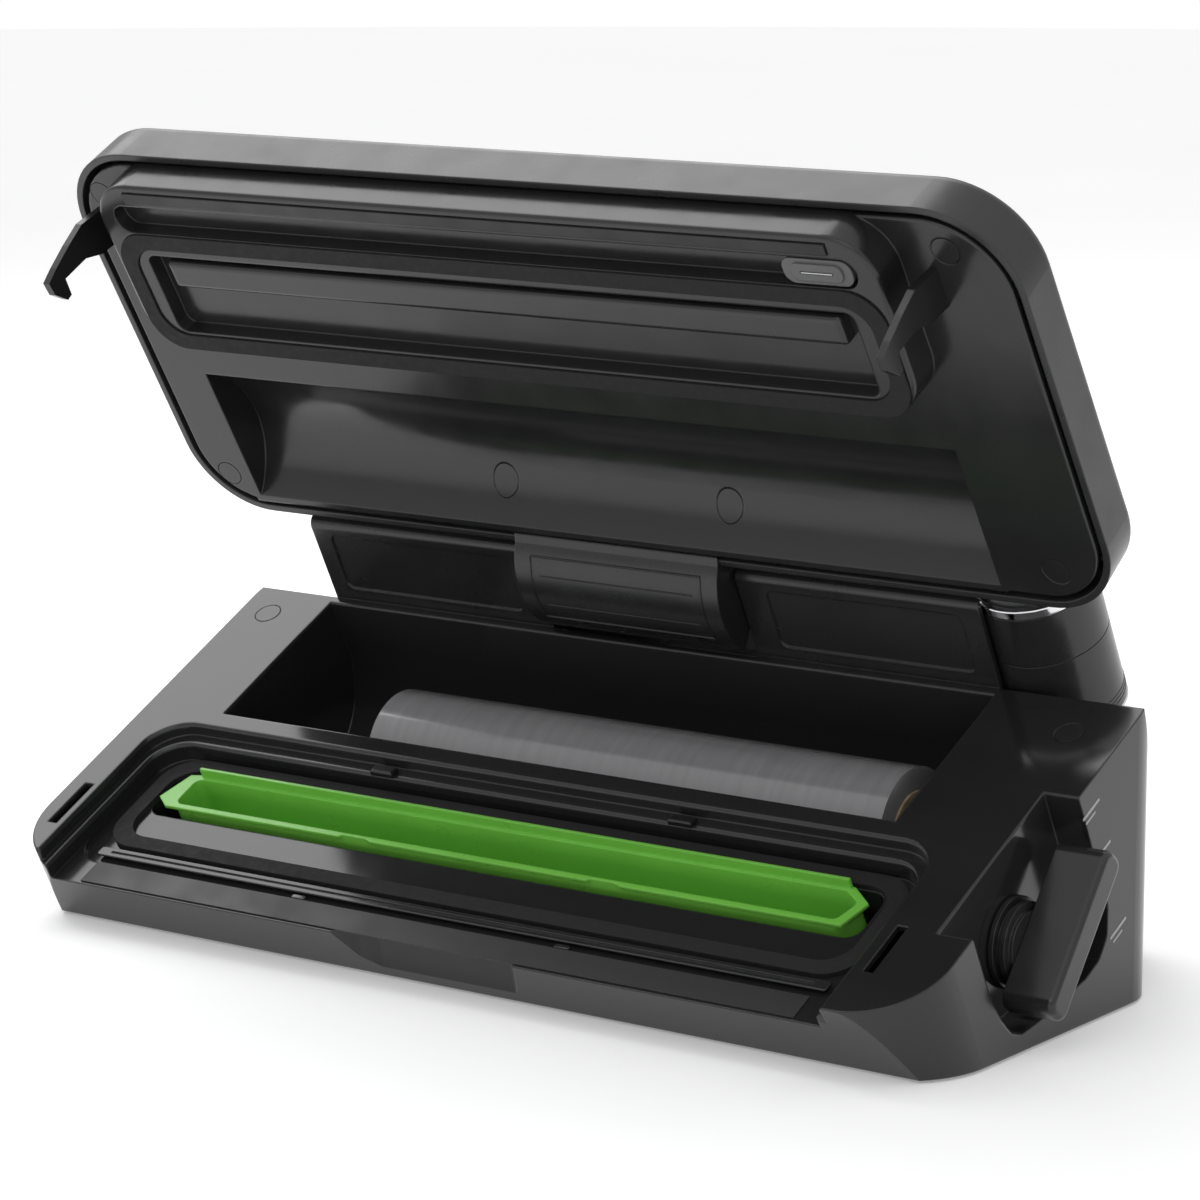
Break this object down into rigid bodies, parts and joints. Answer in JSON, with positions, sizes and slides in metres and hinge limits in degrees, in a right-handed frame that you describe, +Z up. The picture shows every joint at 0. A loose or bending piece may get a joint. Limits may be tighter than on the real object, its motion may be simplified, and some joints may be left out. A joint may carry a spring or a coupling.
{
  "type": "vacuum sealer",
  "caption": "Countertop vacuum food sealer with hinged lid, sloping deck, roll store, drip tray, side latch lever and docked handheld wand.",
  "frame": {"origin": "on the ground plane under the feet, at the middle of the machine's width and depth with the lid open", "axes": "+X towards the machine's lever end, +Y towards its back, +Z up; the front with the finger notch faces -Y"},
  "size_m": [0.413, 0.215, 0.2914],
  "materials": {
    "deck_black": "near-mirror gloss on the deck, satin on the sides",
    "housing_black": "satin gloss",
    "cover_black": "matt",
    "foot_rubber": "matt",
    "steel": "brushed",
    "cap_black": "satin",
    "foam": "fine closed-cell foam",
    "tray_green": "satin gloss",
    "rail_black": "gloss",
    "element_steel": "thin ribbon",
    "tape": "coated cloth tape",
    "tab_black": "matt",
    "inner_grey": "moulded",
    "wand_black": "satin gloss",
    "wand_chrome": "polished",
    "wand_green": "translucent gloss",
    "wand_nozzle_grey": "satin",
    "wand_button_grey": "satin",
    "tube": "soft clear tube",
    "inlet_black": "matt",
    "board_green": "solder mask",
    "lid_black": "satin gloss",
    "liner_black": "satin gloss",
    "knuckle_black": "satin gloss",
    "silicone": "silicone",
    "channel_black": "gloss",
    "hook_black": "satin",
    "slider_grey": "satin",
    "panel_black": "gloss",
    "button_grey": "satin",
    "lever_black": "satin gloss",
    "film": "wound clear film, milky",
    "card": "cardboard core"
  },
  "bodies": {
    "base": {"upper_housing": "deck_black", "rear_housing": "housing_black", "bottom_cover": "cover_black", "rubber_feet": "foot_rubber", "bottom_screws": "steel", "deck_caps": "cap_black", "lower_gasket": "foam", "cutter_rail": "rail_black", "seal_element": "element_steel", "ptfe_tape": "tape", "bag_tabs": "tab_black", "slide_guides": "inner_grey", "shaft_bearings": "inner_grey", "wand_lower_body": "wand_black", "wand_upper_body": "wand_black", "wand_top_ring": "wand_chrome", "wand_cap": "wand_black", "wand_lower_ring": "wand_chrome", "wand_green_ring": "wand_green", "wand_nozzle": "wand_nozzle_grey", "hinge_pins": "steel", "friction_washers": "inner_grey", "vacuum_pump": "inner_grey", "pump_motor": "steel", "transformer": "inner_grey", "suction_tube": "tube", "power_inlet": "inlet_black", "power_board": "board_green"},
    "lid": {"lid_shell": "lid_black", "lid_liner": "liner_black", "lid_knuckle": "knuckle_black", "upper_gasket": "foam", "seal_pad": "silicone", "channel_bar": "channel_black", "left_hook": "hook_black", "right_hook": "hook_black", "lid_caps": "cap_black", "pocket_caps": "cap_black", "control_panel": "panel_black", "lid_board": "board_green"},
    "cutter": {"cutter_slider": "slider_grey", "cutter_blade": "steel"},
    "lever": {"lever": "lever_black", "lever_hub": "lever_black", "cross_shaft": "steel"},
    "left_slide": {"left_latch_slide": "steel"},
    "right_slide": {"right_latch_slide": "steel"},
    "tray": {"drip_tray": "tray_green"},
    "roll": {"film_roll": "film", "roll_core": "card"},
    "wand_switch": {"wand_button": "wand_button_grey"},
    "power_key": {"power_button": "button_grey"},
    "food_key": {"food_button": "button_grey"},
    "speed_key": {"speed_button": "button_grey"},
    "seal_key": {"seal_button": "button_grey"},
    "vacuum_key": {"vacuum_button": "button_grey"}
  },
  "joints": [
    {"name": "lid_hinge", "type": "hinge", "parent": "base", "child": "lid", "pos_m": [0, 0.04782, 0.13449], "axis": [-1, 0, 0], "range_deg": [-85.6, 0]},
    {"name": "lever_turn", "type": "hinge", "parent": "base", "child": "lever", "pos_m": [0.1925, -0.02175, 0.03373], "axis": [1, 0, 0], "range_deg": [-60, 0]},
    {"name": "left_slide_travel", "type": "slide", "parent": "base", "child": "left_slide", "axis": [0, -0.8881, -0.4597], "range_m": [0, 0.008]},
    {"name": "right_slide_travel", "type": "slide", "parent": "base", "child": "right_slide", "axis": [0, -0.8881, -0.4597], "range_m": [0, 0.008]},
    {"name": "tray_lift", "type": "slide", "parent": "base", "child": "tray", "axis": [0, -0.4597, 0.8881], "range_m": [0, 0.025]},
    {"name": "cutter_travel", "type": "slide", "parent": "lid", "child": "cutter", "axis": [-1, 0, 0], "range_m": [0, 0.288]},
    {"name": "roll_spin", "type": "hinge", "parent": "base", "child": "roll", "pos_m": [0, 0.01782, 0.05465], "axis": [1, 0, 0], "continuous": true},
    {"name": "wand_button_press", "type": "slide", "parent": "base", "child": "wand_switch", "axis": [0, -0.8881, -0.4597], "range_m": [0, 0.0012], "stiffness_N_per_m": 600},
    {"name": "power_press", "type": "slide", "parent": "lid", "child": "power_key", "axis": [0, -0.8502, -0.5265], "range_m": [0, 0.0008], "stiffness_N_per_m": 700},
    {"name": "food_press", "type": "slide", "parent": "lid", "child": "food_key", "axis": [0, -0.8502, -0.5265], "range_m": [0, 0.0008], "stiffness_N_per_m": 700},
    {"name": "speed_press", "type": "slide", "parent": "lid", "child": "speed_key", "axis": [0, -0.8502, -0.5265], "range_m": [0, 0.0008], "stiffness_N_per_m": 700},
    {"name": "seal_press", "type": "slide", "parent": "lid", "child": "seal_key", "axis": [0, -0.8502, -0.5265], "range_m": [0, 0.0008], "stiffness_N_per_m": 700},
    {"name": "vacuum_press", "type": "slide", "parent": "lid", "child": "vacuum_key", "axis": [0, -0.8502, -0.5265], "range_m": [0, 0.0008], "stiffness_N_per_m": 700}
  ],
  "couplings": [
    {"joint": "left_slide_travel", "follows": "lever_turn", "m_per_rad": -0.0076394},
    {"joint": "right_slide_travel", "follows": "lever_turn", "m_per_rad": -0.0076394}
  ]
}
